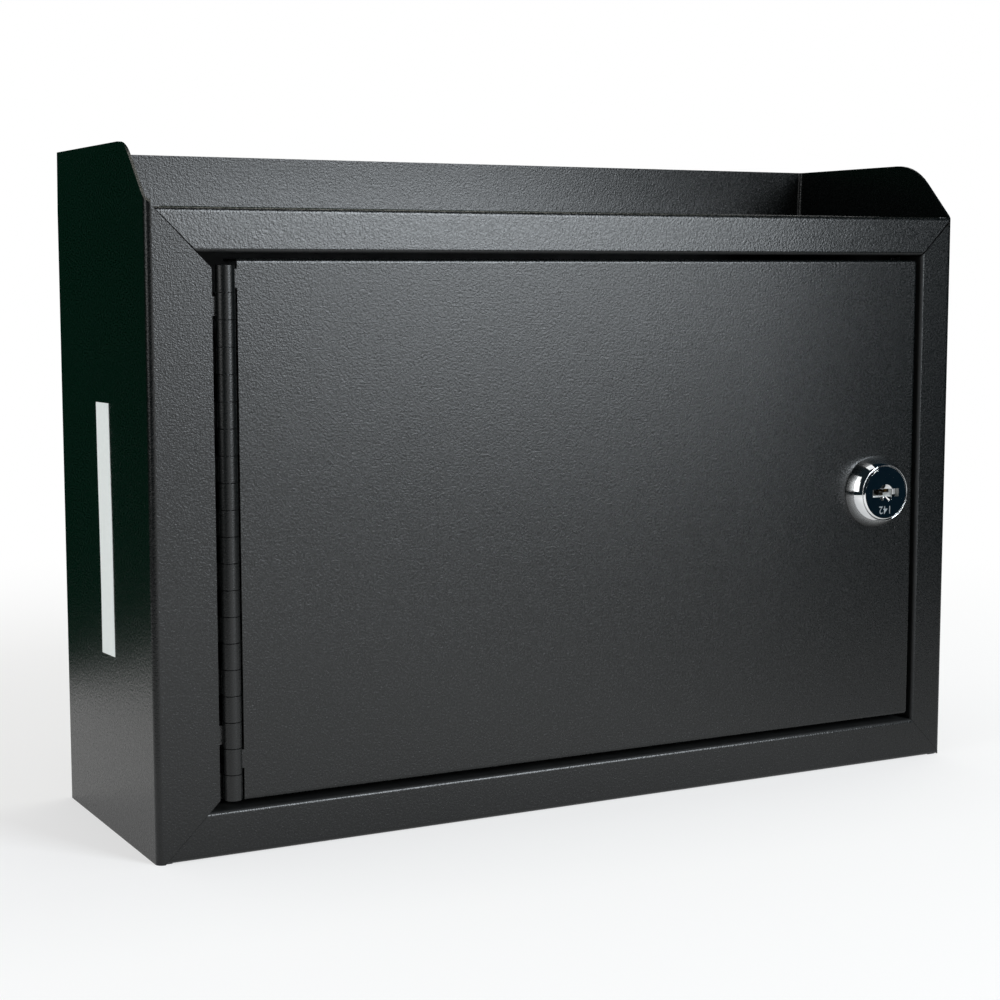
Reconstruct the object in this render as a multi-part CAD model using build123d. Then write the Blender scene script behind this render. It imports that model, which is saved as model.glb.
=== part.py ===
from build123d import *
import math
import os

# Drop box of folded and welded steel sheet with a hinged, locking front door.
# X is to the right, Y to the back and Z up, in millimetres. The origin is the
# centre of the carcass footprint, on the surface that the box stands on.

# Carcass
carcass_width = 354.0
carcass_depth = 108.0
front_height = 231.0
back_height = 254.0
slope_angle = 45.0
left_slope_rise = 1.1
left_peak_radius = 17.0
right_slope_rise = -1.5
right_peak_radius = 28.0
sheet = 1.0
side_bend = 2.5
rail_bend = 2.0
flange_bend = 1.6
weld_flange = 12.0

# Front frame
hinge_stile_width = 23.7
lock_stile_width = 16.4
top_rail_height = 15.8
bottom_rail_height = 16.9
rail_return = 10.0
return_bend = 1.5
stop_lip = 5.0
hinge_mitre_start = 3.1
lock_mitre_start = 1.0
top_seam = 0.45
bottom_seam = 0.1
return_gap = 0.4

# Drop slot in the top sheet
slot_length = 300.0
slot_width = 12.0
slot_offset = 0.0

# Holes in the back for wall screws
wall_hole_diameter = 7.0
wall_hole_spacing_x = 280.0
wall_hole_spacing_z = 150.0
wall_hole_height = 125.0

# Door
door_gap = 2.1
door_bottom_gap = 2.7
door_bend = 1.5
door_corner_radius = 1.2
door_stop_gap = 1.0

# Piano hinge
knuckle_count = 20
knuckle_gap = 0.3
pin_diameter = 3.0
pin_clearance = 0.05
leaf = 0.95
leaf_width = 18.0
hinge_side_gap = 2.1
ear_clearance = 0.3
leaf_cover = 0.4
hinge_bottom_gap = 1.2
hinge_top_gap = 2.15
leaf_end_trim = 0.6
ear_height = 6.8
door_ear_knuckles = (1, 19)
stile_ear_knuckles = (2, 18)

# Lock housing
lock_setback = 20.5
lock_height = 116.8
collar_diameter = 30.0
collar_base = 0.8
collar_height = 7.2
rim_diameter = 23.5
barrel_diameter = 19.0
barrel_flats = 16.0
barrel_length = 15.0
barrel_clearance = 0.1
stop_lug_angle = 30.0
stop_lug_height = 0.8
stop_lug_wall = 1.0
stop_lug_gap = 0.3

# Plug and cap
cap_diameter = 22.5
cap_thickness = 3.3
cap_proud = 0.5
cap_chamfer = 0.65
cap_gap = 0.2
cap_floor_gap = 0.2
key_slot_length = 13.5
key_slot_height = 3.3
dimple_diameter = 7.2
dimple_depth = 1.5
dimple_floor_diameter = 3.6
plug_diameter = 12.0
plug_clearance = 0.05
keyway_length = 8.0
keyway_height = 2.6
keyway_depth = 15.0
ward_from_end = 3.0
ward_height = 1.2
tail_square = 8.0
tail_clearance = 0.05
tail_short = 0.2
stud_diameter = 6.0
stud_spare = 0.6

# Wafers and their springs
wafer_pitch = 2.2
wafer_first = -2.2
wafer_code = (-0.4, -0.1, -0.3, 0.1, -0.2)
wafer_thickness = 1.0
wafer_length = 10.6
wafer_width = 5.0
wafer_window_length = 7.4
wafer_window_height = 3.0
wafer_clearance = 0.1
pocket_clearance = 0.2
wafer_travel = 0.8
groove_gap = 0.3
ear_length = 1.0
ear_reach = 1.2
spring_diameter = 1.1
spring_length = 2.8
spring_bore = 0.5

# Washers, nuts and cam
spur_washer_diameter = 24.0
spur_washer_thickness = 0.8
spur_teeth = 16
spur_tooth_depth = 1.2
lock_nut_flats = 22.5
lock_nut_thickness = 4.0
thread_clearance = 0.05
stop_washer_diameter = 17.0
stop_washer_thickness = 1.0
stop_margin_angle = 1.5
key_turn_angle = 90.0
running_gap = 0.1
cam_thickness = 2.0
cam_hub_diameter = 17.0
cam_width = 12.0
cam_length = 27.0
cam_tip_radius = 2.5
cam_play = 1.0
tooth_washer_diameter = 11.0
tooth_washer_thickness = 0.8
tooth_washer_teeth = 10
tooth_depth = 0.9
cam_nut_flats = 10.0
cam_nut_thickness = 4.0

# Paper label on the left side
label_width = 15.2
label_height = 93.7
label_thickness = 0.15
label_from_front = 52.6
label_centre_height = 113.95
label_tilt = 0.85
label_corner = 0.6

# Places that follow from the sizes above
left = -carcass_width / 2
right = carcass_width / 2
front = -carcass_depth / 2
back = carcass_depth / 2
stile_edge = left + hinge_stile_width
lock_edge = right - lock_stile_width
rail_top_edge = front_height - top_rail_height
barrel_radius = pin_diameter / 2 + pin_clearance + leaf
wafer_count = len(wafer_code)
hinge_x = stile_edge + hinge_side_gap + barrel_radius
hinge_y = front + sheet + leaf - barrel_radius
door_left = hinge_x + barrel_radius + hinge_side_gap
door_right = lock_edge - door_gap
door_bottom = bottom_rail_height + door_bottom_gap
door_top = rail_top_edge - door_gap
hinge_bottom = door_bottom + hinge_bottom_gap
hinge_top = door_top - hinge_top_gap
knuckle_pitch = (hinge_top - hinge_bottom) / knuckle_count
lock_x = door_right - lock_setback
collar_front = front - collar_height
cap_front = collar_front - cap_proud
cap_back = cap_front + cap_thickness
recess_floor = cap_back + cap_floor_gap
barrel_end = front + barrel_length
plug_end = barrel_end + running_gap
stop_washer_back = plug_end + stop_washer_thickness
cam_back = stop_washer_back + cam_thickness
tooth_washer_back = cam_back + tooth_washer_thickness
cam_nut_back = tooth_washer_back + cam_nut_thickness
stud_end = cam_nut_back + stud_spare
lip_back = stop_washer_back - cam_play
lip_front = lip_back - sheet
door_flange_end = lip_front - door_stop_gap


def box_between(x_range, y_range, z_range):
    """A box from its lowest and highest X, Y and Z."""
    size = [high - low for low, high in (x_range, y_range, z_range)]
    middle = [(high + low) / 2 for low, high in (x_range, y_range, z_range)]
    return Pos(*middle) * Box(*size)


def folded_sheet(points, radii, side):
    """The section of a folded sheet, from the line of its outer face."""
    line = FilletPolyline(*points, radius=radii)
    return Face(Wire(line.edges()).offset_2d(sheet, side=side, closed=True))


def along_z(face, low, high):
    """A section drawn in X and Y, pulled from one height to another."""
    return extrude(Pos(0, 0, low) * face, high - low, dir=(0, 0, 1))


def along_x(face, low, high):
    """A section drawn in Y and Z, pulled from one X to another."""
    return extrude(Pos(low, 0, 0) * (Plane.YZ * face), high - low, dir=(1, 0, 0))


def along_y(face, low, high):
    """A section drawn in X and Z, pulled from one Y to another."""
    return extrude(Pos(0, low, 0) * (Plane.XZ * face), high - low, dir=(0, 1, 0))


def front_prism(points, low=front - sheet, high=back):
    """A prism whose outline is drawn in X and Z."""
    return along_y(make_face(Polyline(*points, close=True)), low, high)


def at_lock(y):
    """The place on the lock's axis at one Y."""
    return Pos(lock_x, y, lock_height) * Rot(-90, 0, 0)


def lock_disc(radius, y_range):
    """A disc on the lock's axis."""
    low, high = y_range
    return at_lock(low) * Cylinder(radius, high - low, align=(Align.CENTER, Align.CENTER, Align.MIN))


def lock_wedge(start_angle, end_angle, y_range):
    """A wedge about the lock's axis, its angles counted from +X towards +Z."""
    reach = collar_diameter
    angles = (start_angle, (start_angle + end_angle) / 2, end_angle)
    rim = [(lock_x + reach * math.cos(math.radians(a)), lock_height + reach * math.sin(math.radians(a)))
           for a in angles]
    return front_prism([(lock_x, lock_height)] + rim, *y_range)


def lock_block(half_x, half_z, y_range):
    """A block centred on the lock's axis."""
    return box_between((lock_x - half_x, lock_x + half_x), y_range,
                       (lock_height - half_z, lock_height + half_z))


def knuckle_centre(number):
    """The height of a knuckle's middle, counted from the top."""
    return hinge_top - (number - 0.5) * knuckle_pitch


def ear(edge, numbers):
    """Small tabs at face level, beside the knuckles that the same sheet carries."""
    side = 1 if edge < hinge_x else -1
    tip = hinge_x - side * (barrel_radius + ear_clearance)
    root = edge - side * sheet
    return [box_between(sorted((root, tip)), (front, front + sheet),
                        (knuckle_centre(n) - ear_height / 2, knuckle_centre(n) + ear_height / 2))
            for n in numbers]


def side_outline_cut(x_range, slope_rise, peak_radius):
    """What a sloped side and the front leave open above them."""
    slope = math.tan(math.radians(slope_angle))
    far_front = front - weld_flange
    far_back = back + weld_flange
    over = back_height + 2 * weld_flange
    start_height = front_height + slope_rise
    peak_y = front + (back_height - start_height) / slope
    line = FilletPolyline((far_back, back_height), (peak_y, back_height),
                          (far_front, start_height - weld_flange * slope), radius=[peak_radius])
    rest = Polyline(line @ 1, (far_front, over), (far_back, over), line @ 0)
    return along_x(make_face(line.edges() + rest.edges()), *x_range)


def seam_places(outer, edge):
    """The mitre seams at a rail's two ends: which way is inwards, and the left seam's inner end."""
    inward = 1 if edge > outer else -1
    return inward, left + hinge_mitre_start + abs(edge - outer)


def stile_mitre_cuts(outer, edge, seam):
    """What a rail's mitres take off the two stiles and the lock stile's return."""
    inward, seam_end = seam_places(outer, edge)
    far = outer - 3 * inward * weld_flange
    step = seam * math.sqrt(2)
    past = stile_edge + hinge_side_gap
    chamfer_end = edge + inward * (stile_edge - seam_end + step)
    start = left + hinge_mitre_start - step
    hinge_side = front_prism([(start, far), (start, outer), (seam_end - step, edge), (stile_edge, chamfer_end),
                              (past, chamfer_end), (past, far)], front - sheet, front + side_bend)
    inner_x = lock_edge - stop_lip - sheet
    lock_side = front_prism([(right - lock_mitre_start, far),
                             (right - lock_mitre_start, outer + inward * (lock_mitre_start + step)),
                             (lock_edge, edge + inward * step), (inner_x, edge + inward * step),
                             (inner_x, far)], front - sheet, lip_back + sheet)
    behind = box_between((inner_x, lock_edge + 1.5 * sheet), (front + return_bend, lip_back + sheet),
                         sorted((edge + inward * return_gap, far)))
    return [hinge_side, lock_side, behind]


def rail_mitre_cuts(outer, edge):
    """What the mitres take off a rail's two ends."""
    inward, seam_end = seam_places(outer, edge)
    far = outer - inward * weld_flange
    past = edge + inward * sheet
    y_range = (front - sheet, front + rail_return + sheet)
    start = left + hinge_mitre_start
    hinge_side = front_prism([(left - sheet, far), (start, far), (start, outer),
                              (seam_end, edge), (seam_end, past), (left - sheet, past)], *y_range)
    lock_side = front_prism([(right + sheet, far), (right - lock_mitre_start, far),
                             (right - lock_mitre_start, outer + inward * lock_mitre_start),
                             (lock_edge, edge), (lock_edge, past), (right + sheet, past)], *y_range)
    return [hinge_side, lock_side]


def inside_of_wrap(low, high):
    """The space inside the folded wrap, between two heights."""
    plan = RectangleRounded(carcass_width - 2 * sheet, carcass_depth - 2 * sheet, side_bend - sheet)
    return along_z(plan, low, high)


def body_wrap():
    line = [(stile_edge, front), (left, front), (left, back), (right, back), (right, front),
            (lock_edge, front), (lock_edge, lip_front), (lock_edge - stop_lip, lip_front)]
    radii = [side_bend] * 4 + [return_bend, return_bend - sheet]
    wrap = along_z(folded_sheet(line, radii, Side.RIGHT), 0, back_height + weld_flange)
    wrap -= side_outline_cut((left - sheet, 0), left_slope_rise, left_peak_radius)
    wrap -= side_outline_cut((0, right + sheet), right_slope_rise, right_peak_radius)
    wrap -= stile_mitre_cuts(front_height, rail_top_edge, top_seam)
    wrap -= stile_mitre_cuts(0, bottom_rail_height, bottom_seam)
    for x in (-wall_hole_spacing_x / 2, wall_hole_spacing_x / 2):
        for z in (wall_hole_height - wall_hole_spacing_z / 2, wall_hole_height + wall_hole_spacing_z / 2):
            wrap -= Pos(x, back, z) * Rot(90, 0, 0) * Cylinder(wall_hole_diameter / 2, 4 * sheet)
    return wrap + ear(stile_edge, stile_ear_knuckles)


def pan(outer, edge):
    """A top or bottom sheet with its rail, the rail's return and three welding flanges."""
    inward = 1 if edge > outer else -1
    flange_end = outer + inward * weld_flange
    section = folded_sheet([(front + rail_return, edge), (front, edge), (front, outer),
                            (back - sheet, outer), (back - sheet, flange_end)],
                           [return_bend, rail_bend, flange_bend], Side.LEFT if inward > 0 else Side.RIGHT)
    inner_half = carcass_width / 2 - sheet
    plate_half = inner_half - flange_bend
    body = along_x(section, -plate_half, plate_half)
    rail_tip = box_between((plate_half, inner_half), (front, front + sheet), sorted((outer, edge)))
    body += along_x(section, plate_half, inner_half) & rail_tip
    body -= rail_mitre_cuts(outer, edge)
    inside = inside_of_wrap(*sorted((outer, flange_end)))
    for sign in (-1, 1):
        flange = folded_sheet([(sign * inner_half, flange_end), (sign * inner_half, outer),
                               (sign * (inner_half - 3 * flange_bend), outer)],
                              [flange_bend], Side.LEFT if sign * inward < 0 else Side.RIGHT)
        body += along_y(flange, front + sheet, back - sheet) & inside
    return body


def top_pan():
    slot = extrude(SlotOverall(slot_length, slot_width), 2 * sheet, both=True)
    return pan(front_height, rail_top_edge) - Pos(0, slot_offset, front_height) * slot


def bottom_pan():
    return pan(0, bottom_rail_height)


def hinge_leaf(side, numbers):
    """A hinge leaf that reaches left (-1) or right (+1) of the pin, with its knuckles."""
    y_range = (hinge_y + barrel_radius - leaf, hinge_y + barrel_radius)
    inner_x = hinge_x + side * (barrel_radius + hinge_side_gap + leaf_cover)
    body = box_between(sorted((inner_x, hinge_x + side * leaf_width)), y_range,
                       (hinge_bottom + leaf_end_trim, hinge_top - leaf_end_trim))
    height = knuckle_pitch - knuckle_gap
    for number in numbers:
        middle = knuckle_centre(number)
        web = box_between(sorted((hinge_x, inner_x + side * leaf)), y_range,
                          (middle - height / 2, middle + height / 2))
        body += web + Pos(hinge_x, hinge_y, middle) * Cylinder(barrel_radius, height)
    bore = Pos(hinge_x, hinge_y, (hinge_bottom + hinge_top) / 2) * Cylinder(
        pin_diameter / 2 + pin_clearance, hinge_top - hinge_bottom + sheet)
    return body - bore


def frame_hinge_leaf():
    return hinge_leaf(-1, range(2, knuckle_count + 1, 2))


def door_hinge_leaf():
    return hinge_leaf(1, range(1, knuckle_count + 1, 2))


def hinge_pin():
    return Pos(hinge_x, hinge_y, (hinge_bottom + hinge_top) / 2) * Cylinder(
        pin_diameter / 2, hinge_top - hinge_bottom)


def side_label():
    label = Box(label_thickness, label_width, label_height)
    label = fillet(label.edges().filter_by(Axis.X), label_corner)
    place = Pos(left - label_thickness / 2, front + label_from_front, label_centre_height)
    return place * Rot(-label_tilt, 0, 0) * label


def door_shell(inset, corner, bend, open_left, y_range):
    """A rounded block, the outside or the inside of the folded door."""
    x_range = (door_left - open_left, door_right - inset)
    z_range = (door_bottom + inset, door_top - inset)
    face = make_face(Polyline((x_range[0], z_range[0]), (x_range[1], z_range[0]),
                              (x_range[1], z_range[1]), (x_range[0], z_range[1]), close=True))
    face = fillet(face.vertices().group_by(Axis.X)[-1], corner)
    block = along_y(face, *y_range)
    front_edges = block.faces().sort_by(Axis.Y)[0].edges().sort_by(Axis.X)[1:]
    return fillet(front_edges, bend)


def door_panel():
    panel = door_shell(0, door_corner_radius, door_bend, 0, (front, door_flange_end))
    panel -= door_shell(sheet, door_corner_radius - sheet, door_bend - sheet, sheet,
                        (front + sheet, door_flange_end + sheet))
    panel += ear(door_left, door_ear_knuckles)
    hole_y = (front - sheet, front + 2 * sheet)
    round_hole = lock_disc(barrel_diameter / 2 + barrel_clearance, hole_y)
    return panel - (round_hole & lock_block(barrel_flats / 2 + barrel_clearance, barrel_diameter, hole_y))


def lock_housing():
    barrel = barrel_diameter / 2
    rim = (rim_diameter / 2, collar_front)
    shoulder = (collar_diameter / 2, front - collar_base)
    dome = TangentArc(shoulder, rim, tangent=(0, -1))
    outline = Polyline(rim, (0, collar_front), (0, front), (collar_diameter / 2, front), shoulder)
    head = make_face(dome.edges() + outline.edges())
    body = Pos(lock_x, 0, lock_height) * revolve(head, Axis.Y)
    body += lock_disc(barrel, (front, barrel_end)) & lock_block(barrel_flats / 2, barrel, (front, barrel_end))
    lug_y = (barrel_end - sheet, barrel_end + stop_lug_height)
    lug_inner = plug_diameter / 2 + plug_clearance + stop_lug_wall
    lug = (lock_disc(barrel, lug_y) - lock_disc(lug_inner, lug_y)) & lock_wedge(
        90 - stop_lug_angle / 2, 90 + stop_lug_angle / 2, lug_y)
    body += lug
    body -= lock_disc(cap_diameter / 2 + cap_gap, (collar_front - sheet, recess_floor))
    body -= lock_disc(plug_diameter / 2 + plug_clearance, (collar_front, barrel_end + sheet))
    groove_y = (wafer_place(0) - wafer_thickness / 2 - groove_gap,
                wafer_place(wafer_count - 1) + wafer_thickness / 2 + groove_gap)
    reach = wafer_length / 2 + wafer_travel + groove_gap
    across = wafer_width / 2 + groove_gap
    body -= lock_block(reach, across, groove_y)
    return body - lock_block(across, reach, groove_y)


def wafer_place(number):
    """The Y of a wafer's middle, counted from the front."""
    return front + wafer_first + number * wafer_pitch


def lock_wafers():
    wafers = []
    for number, window_shift in enumerate(wafer_code):
        y = wafer_place(number)
        y_range = (y - wafer_thickness / 2, y + wafer_thickness / 2)
        wafer = lock_block(wafer_length / 2, wafer_width / 2, y_range)
        wafer += box_between((lock_x - ear_length / 2, lock_x + ear_length / 2), y_range,
                             (lock_height, lock_height + wafer_width / 2 + ear_reach))
        window = lock_block(wafer_window_length / 2, wafer_window_height / 2, y_range)
        wafers.append(wafer - Pos(window_shift, 0, 0) * window)
    return Compound(children=wafers)


def wafer_springs():
    middle_x = lock_x - ear_length / 2 - wafer_clearance / 2 - spring_length / 2
    middle_z = lock_height + (wafer_width + ear_reach + wafer_clearance) / 2
    springs = []
    for number in range(wafer_count):
        tube = Cylinder(spring_diameter / 2, spring_length) - Cylinder(spring_bore / 2, spring_length)
        springs.append(Pos(middle_x, wafer_place(number), middle_z) * Rot(0, 90, 0) * tube)
    return Compound(children=springs)


def lock_plug():
    radius = plug_diameter / 2
    tail_end = cam_back - tail_short
    body = lock_disc(radius, (cap_back, plug_end))
    body += lock_block(tail_square / 2, tail_square / 2, (plug_end, tail_end))
    body += lock_disc(stud_diameter / 2, (tail_end, stud_end))
    keyway_y = (cap_back, cap_back + keyway_depth)
    keyway_end = lock_x + keyway_length / 2
    keyway_floor = lock_height - keyway_height / 2
    ward = box_between((keyway_end - ward_from_end, keyway_end), keyway_y,
                       (keyway_floor, keyway_floor + ward_height))
    body -= lock_block(keyway_length / 2, keyway_height / 2, keyway_y) - ward
    for number in range(wafer_count):
        y = wafer_place(number)
        y_range = (y - wafer_thickness / 2 - wafer_clearance, y + wafer_thickness / 2 + wafer_clearance)
        body -= lock_block(radius, wafer_width / 2 + wafer_clearance, y_range)
        pocket_x = (lock_x - ear_length / 2 - spring_length - pocket_clearance,
                    lock_x + ear_length / 2 + wafer_travel + pocket_clearance)
        body -= box_between(pocket_x, y_range,
                            (lock_height, lock_height + wafer_width / 2 + ear_reach + pocket_clearance))
    return body


def plug_cap():
    cap = lock_disc(cap_diameter / 2, (cap_front, cap_back))
    cap = chamfer(cap.faces().sort_by(Axis.Y)[0].edges(), cap_chamfer)
    cap -= lock_block(key_slot_length / 2, key_slot_height / 2, (cap_front, cap_back))
    dimple = Cone(dimple_diameter / 2, dimple_floor_diameter / 2, dimple_depth,
                  align=(Align.CENTER, Align.CENTER, Align.MIN))
    return cap - at_lock(cap_front) * dimple


def cam_stop_washer():
    y_range = (plug_end, stop_washer_back)
    hole = tail_square / 2 + tail_clearance
    notch_radius = plug_diameter / 2 + plug_clearance + stop_lug_wall - stop_lug_gap
    notch = (90 - stop_lug_angle / 2 - stop_margin_angle - key_turn_angle,
             90 + stop_lug_angle / 2 + stop_margin_angle)
    body = lock_disc(stop_washer_diameter / 2, y_range)
    body -= lock_wedge(*notch, y_range) - lock_disc(notch_radius, y_range)
    return body - lock_block(hole, hole, y_range)


def lock_cam():
    y_range = (stop_washer_back, cam_back)
    arm = make_face(Polyline((lock_x - cam_width / 2, lock_height), (lock_x + cam_width / 2, lock_height),
                             (lock_x + cam_width / 2, lock_height - cam_length),
                             (lock_x - cam_width / 2, lock_height - cam_length), close=True))
    arm = fillet(arm.vertices().group_by(Axis.Y)[0], cam_tip_radius)
    hole = tail_square / 2 + tail_clearance
    return along_y(arm, *y_range) + lock_disc(cam_hub_diameter / 2, y_range) - lock_block(hole, hole, y_range)


def toothed_washer(outer_radius, hole_radius, teeth, depth, y_range):
    """A thin washer with notches between the teeth of its rim."""
    body = lock_disc(outer_radius, y_range) - lock_disc(hole_radius, y_range)
    width = math.pi * outer_radius / teeth
    thickness = y_range[1] - y_range[0]
    for number in range(teeth):
        notch = Pos(outer_radius, 0, thickness / 2) * Box(2 * depth, width, thickness)
        body -= at_lock(y_range[0]) * Rot(0, 0, 360 * number / teeth) * notch
    return body


def hex_nut(flats, hole_radius, y_range):
    """A hexagon nut on the lock's axis."""
    low, high = y_range
    body = at_lock(low) * extrude(RegularPolygon(flats / 2, 6, major_radius=False), high - low)
    return body - lock_disc(hole_radius, y_range)


def lock_spur_washer():
    y_range = (front + sheet, front + sheet + spur_washer_thickness)
    return toothed_washer(spur_washer_diameter / 2, barrel_diameter / 2 + barrel_clearance,
                          spur_teeth, spur_tooth_depth, y_range)


def lock_nut():
    start = front + sheet + spur_washer_thickness
    hole_radius = barrel_diameter / 2 + thread_clearance
    return hex_nut(lock_nut_flats, hole_radius, (start, start + lock_nut_thickness))


def cam_tooth_washer():
    return toothed_washer(tooth_washer_diameter / 2, stud_diameter / 2 + thread_clearance,
                          tooth_washer_teeth, tooth_depth, (cam_back, tooth_washer_back))


def cam_nut():
    return hex_nut(cam_nut_flats, stud_diameter / 2 + thread_clearance, (tooth_washer_back, cam_nut_back))


sub_parts = [body_wrap, top_pan, bottom_pan, frame_hinge_leaf, hinge_pin, side_label, door_panel,
             door_hinge_leaf, lock_housing, lock_spur_washer, lock_nut, plug_cap, lock_plug,
             cam_stop_washer, lock_cam, cam_tooth_washer, cam_nut, wafer_springs, lock_wafers]

os.makedirs("parts", exist_ok=True)
for make in sub_parts:
    export_step(make(), f"parts/{make.__name__}.step")
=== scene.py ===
import math
import bmesh
import bpy
from mathutils import Matrix, Vector


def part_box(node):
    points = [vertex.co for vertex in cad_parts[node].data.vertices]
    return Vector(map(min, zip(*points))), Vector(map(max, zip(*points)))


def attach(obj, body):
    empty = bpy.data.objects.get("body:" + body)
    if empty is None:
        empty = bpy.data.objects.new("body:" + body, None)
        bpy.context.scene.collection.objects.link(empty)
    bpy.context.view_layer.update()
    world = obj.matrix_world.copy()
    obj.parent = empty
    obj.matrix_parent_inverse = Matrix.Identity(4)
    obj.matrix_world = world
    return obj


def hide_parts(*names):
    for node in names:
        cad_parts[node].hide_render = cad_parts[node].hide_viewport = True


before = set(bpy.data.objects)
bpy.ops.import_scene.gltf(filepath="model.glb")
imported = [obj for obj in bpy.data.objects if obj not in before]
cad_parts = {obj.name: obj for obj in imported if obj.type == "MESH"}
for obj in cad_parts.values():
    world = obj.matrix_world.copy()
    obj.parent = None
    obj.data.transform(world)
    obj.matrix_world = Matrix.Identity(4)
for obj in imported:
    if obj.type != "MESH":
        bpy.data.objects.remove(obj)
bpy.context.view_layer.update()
print("frame loaded, nodes:", len(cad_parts))

# Lengths are in millimetres unless a name says otherwise, and mm() turns them to metres.
# X is to the right, Y to the back and Z up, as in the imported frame.
tolerance = {"merge": 0.001, "near": 0.01}


def mm(*lengths):
    metres = [length / 1000 for length in lengths]
    return metres[0] if len(metres) == 1 else tuple(metres)


def toLinear(hexColour):
    channels = [int(hexColour[i:i + 2], 16) / 255 for i in (1, 3, 5)]
    return [c / 12.92 if c <= 0.04045 else ((c + 0.055) / 1.055) ** 2.4 for c in channels] + [1]


def nodeBox(node):
    low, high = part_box(node)
    return [c * 1000 for c in low], [c * 1000 for c in high]


# Places on the box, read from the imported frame
wrapLow, wrapHigh = nodeBox("body_wrap")
topLow, topHigh = nodeBox("top_pan")
pinLow, pinHigh = nodeBox("hinge_pin")
capLow, capHigh = nodeBox("plug_cap")
waferLow, waferHigh = nodeBox("lock_wafers")
collarFront = nodeBox("lock_housing")[0][1]
frontY = topLow[1]
hingeX, hingeY = (pinLow[0] + pinHigh[0]) / 2, (pinLow[1] + pinHigh[1]) / 2
lockX, lockZ = (capLow[0] + capHigh[0]) / 2, (capLow[2] + capHigh[2]) / 2


def clearSelection():
    if bpy.context.object and bpy.context.object.mode == "EDIT":
        bpy.ops.object.mode_set(mode="OBJECT")
    bpy.ops.object.select_all(action="DESELECT")


def pick(*pieces):
    clearSelection()
    for piece in pieces:
        piece.select_set(True)
    bpy.context.view_layer.objects.active = pieces[0]


def named(name):
    piece = bpy.context.active_object
    piece.name = name
    piece.data.name = name
    return piece


def settle(piece):
    # the object goes to the origin and its place into the mesh
    pick(piece)
    bpy.ops.object.transform_apply(location=True, rotation=True, scale=True)


def selectEdges(piece, wanted):
    # wanted gets an edge's two ends in millimetres
    bpy.ops.object.mode_set(mode="EDIT")
    bpy.ops.mesh.select_mode(type="EDGE")
    bpy.ops.mesh.select_all(action="DESELECT")
    mesh = bmesh.from_edit_mesh(piece.data)
    for edge in mesh.edges:
        ends = [piece.matrix_world @ vertex.co * 1000 for vertex in edge.verts]
        edge.select_set(wanted(*ends))
    bmesh.update_edit_mesh(piece.data)


def finishWith(piece, kind, **settings):
    pick(piece)
    modifier = piece.modifiers.new(kind, kind)
    for name, value in settings.items():
        setattr(modifier, name, value)
    bpy.ops.object.modifier_apply(modifier=modifier.name)


def softenEdges(piece, width, segments=2, angle=30):
    finishWith(piece, "BEVEL", width=mm(width), segments=segments, limit_method="ANGLE",
               angle_limit=math.radians(angle), harden_normals=False)


def smoothBelow(piece, angle, flatFaces=False):
    # flatFaces keeps the big faces flat and lets only the small rounded edges turn
    pick(piece)
    bpy.ops.object.shade_smooth_by_angle(angle=math.radians(angle))
    if flatFaces:
        finishWith(piece, "WEIGHTED_NORMAL", mode="FACE_AREA", weight=100, keep_sharp=True)


def cutAway(piece, cutter, crossesItself=False):
    # the cut faces keep the cutter's material
    if not cutter.data.materials:
        cutter.data.materials.append(piece.data.materials[0])
    finishWith(piece, "BOOLEAN", operation="DIFFERENCE", solver="EXACT", use_self=crossesItself,
               material_mode="TRANSFER", object=cutter)
    bpy.data.objects.remove(cutter)


def joinInto(piece, *others):
    pick(piece, *others)
    bpy.ops.object.join()
    return piece


def putOn(piece, body, material, slot, *nodes):
    # every piece rides on a body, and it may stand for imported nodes
    if not piece.data.materials:
        piece.data.materials.append(material)
    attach(piece, body)
    if nodes:
        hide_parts(*nodes)
    return piece


def closeUp(piece):
    # doubles merged and normals outwards
    pick(piece)
    bpy.ops.object.mode_set(mode="EDIT")
    bpy.ops.mesh.select_all(action="SELECT")
    bpy.ops.mesh.remove_doubles(threshold=mm(tolerance["merge"]))
    bpy.ops.mesh.normals_make_consistent(inside=False)
    bpy.ops.object.mode_set(mode="OBJECT")


def addNode(owner, kind, inputs, **settings):
    # the owner is a material or a world, and an input is a value or another node's output
    node = owner.node_tree.nodes.new(kind)
    for name, value in settings.items():
        setattr(node, name, value)
    for name, value in inputs.items():
        if isinstance(value, bpy.types.NodeSocket):
            owner.node_tree.links.new(value, node.inputs[name])
        else:
            node.inputs[name].default_value = value
    return node


# Blender's noise keeps mostly to this part of its range
noiseReach = (0.3, 0.7)


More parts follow.
